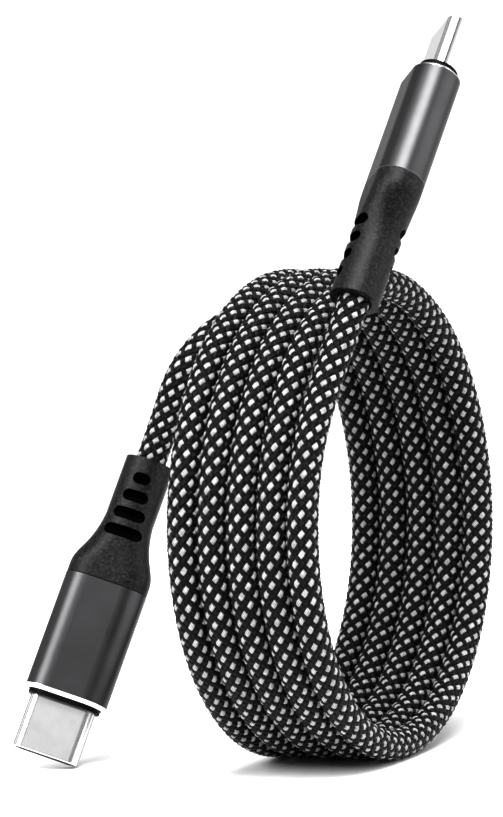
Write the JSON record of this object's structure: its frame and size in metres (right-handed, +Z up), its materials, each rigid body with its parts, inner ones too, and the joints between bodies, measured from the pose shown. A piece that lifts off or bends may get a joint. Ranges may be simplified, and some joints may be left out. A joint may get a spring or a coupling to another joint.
{
  "type": "usb c charging cable",
  "caption": "Two-tone braided USB-C charging cable wound in a coil, with a metal housing, a plug and a slotted strain relief at each end.",
  "frame": {"origin": "centre of the whole part's box, on the surface that it stands on", "axes": "+Z up, X along the coil's axis, -Y towards the side that the hanging connector leans to"},
  "size_m": [0.0539, 0.0586, 0.088],
  "materials": {
    "plug_steel": "satin",
    "core_plastic": "matte",
    "contact_gold": "polished",
    "spring_steel": "satin",
    "collar_plastic": "matte",
    "housing_alloy": "satin anodised, bright chamfers",
    "shield_steel": "satin",
    "board_laminate": "matte",
    "chip_resin": "matte",
    "passive_ceramic": "matte",
    "boot_rubber": "matte",
    "crimp_brass": "satin",
    "cable_braid": "black braid with light grey diamonds",
    "wire_red": "matte",
    "wire_black": "matte",
    "wire_blue": "matte",
    "wire_white": "matte",
    "wire_green": "matte"
  },
  "bodies": {
    "cable": {"plug_shell_a": "plug_steel", "contact_carrier_a": "core_plastic", "upper_contacts_a": "contact_gold", "lower_contacts_a": "contact_gold", "ground_spring_upper_a": "spring_steel", "ground_spring_lower_a": "spring_steel", "front_collar_a": "collar_plastic", "housing_a": "housing_alloy", "shield_upper_a": "shield_steel", "shield_lower_a": "shield_steel", "paddle_board_a": "board_laminate", "marker_chip_a": "chip_resin", "board_passives_a": "passive_ceramic", "strain_relief_a": "boot_rubber", "crimp_ring_a": "crimp_brass", "cable_end_a": "cable_braid", "wire_vbus_a": "wire_red", "wire_ground_a": "wire_black", "wire_cc_a": "wire_blue", "wire_data_minus_a": "wire_white", "wire_data_plus_a": "wire_green", "plug_shell_b": "plug_steel", "contact_carrier_b": "core_plastic", "upper_contacts_b": "contact_gold", "lower_contacts_b": "contact_gold", "ground_spring_upper_b": "spring_steel", "ground_spring_lower_b": "spring_steel", "front_collar_b": "collar_plastic", "housing_b": "housing_alloy", "shield_upper_b": "shield_steel", "shield_lower_b": "shield_steel", "paddle_board_b": "board_laminate", "marker_chip_b": "chip_resin", "board_passives_b": "passive_ceramic", "strain_relief_b": "boot_rubber", "crimp_ring_b": "crimp_brass", "cable_end_b": "cable_braid", "wire_vbus_b": "wire_red", "wire_ground_b": "wire_black", "wire_cc_b": "wire_blue", "wire_data_minus_b": "wire_white", "wire_data_plus_b": "wire_green", "cord_coil": "cable_braid", "cord_tail_a": "cable_braid", "cord_tail_b": "cable_braid"},
    "latch_left_a": {"latch_left_a": "spring_steel"},
    "latch_right_a": {"latch_right_a": "spring_steel"},
    "latch_left_b": {"latch_left_b": "spring_steel"},
    "latch_right_b": {"latch_right_b": "spring_steel"}
  },
  "joints": [
    {"name": "latch_left_a_flex", "type": "hinge", "parent": "cable", "child": "latch_left_a", "pos_m": [0.02032, 0.00567, 0.07864], "axis": [-0.7496, -0.4886, 0.4465], "range_deg": [0, 1.8], "stiffness_Nm_per_rad": 0.3},
    {"name": "latch_right_a_flex", "type": "hinge", "parent": "cable", "child": "latch_right_a", "pos_m": [0.02484, 0.0012, 0.08134], "axis": [0.7496, 0.4886, -0.4465], "range_deg": [0, 1.8], "stiffness_Nm_per_rad": 0.3},
    {"name": "latch_left_b_flex", "type": "hinge", "parent": "cable", "child": "latch_left_b", "pos_m": [-0.02462, -0.01377, 0.00965], "axis": [-0.4021, 0.8648, -0.3007], "range_deg": [0, 1.8], "stiffness_Nm_per_rad": 0.3},
    {"name": "latch_right_b_flex", "type": "hinge", "parent": "cable", "child": "latch_right_b", "pos_m": [-0.01848, -0.01175, 0.00725], "axis": [0.4021, -0.8648, 0.3007], "range_deg": [0, 1.8], "stiffness_Nm_per_rad": 0.3}
  ]
}
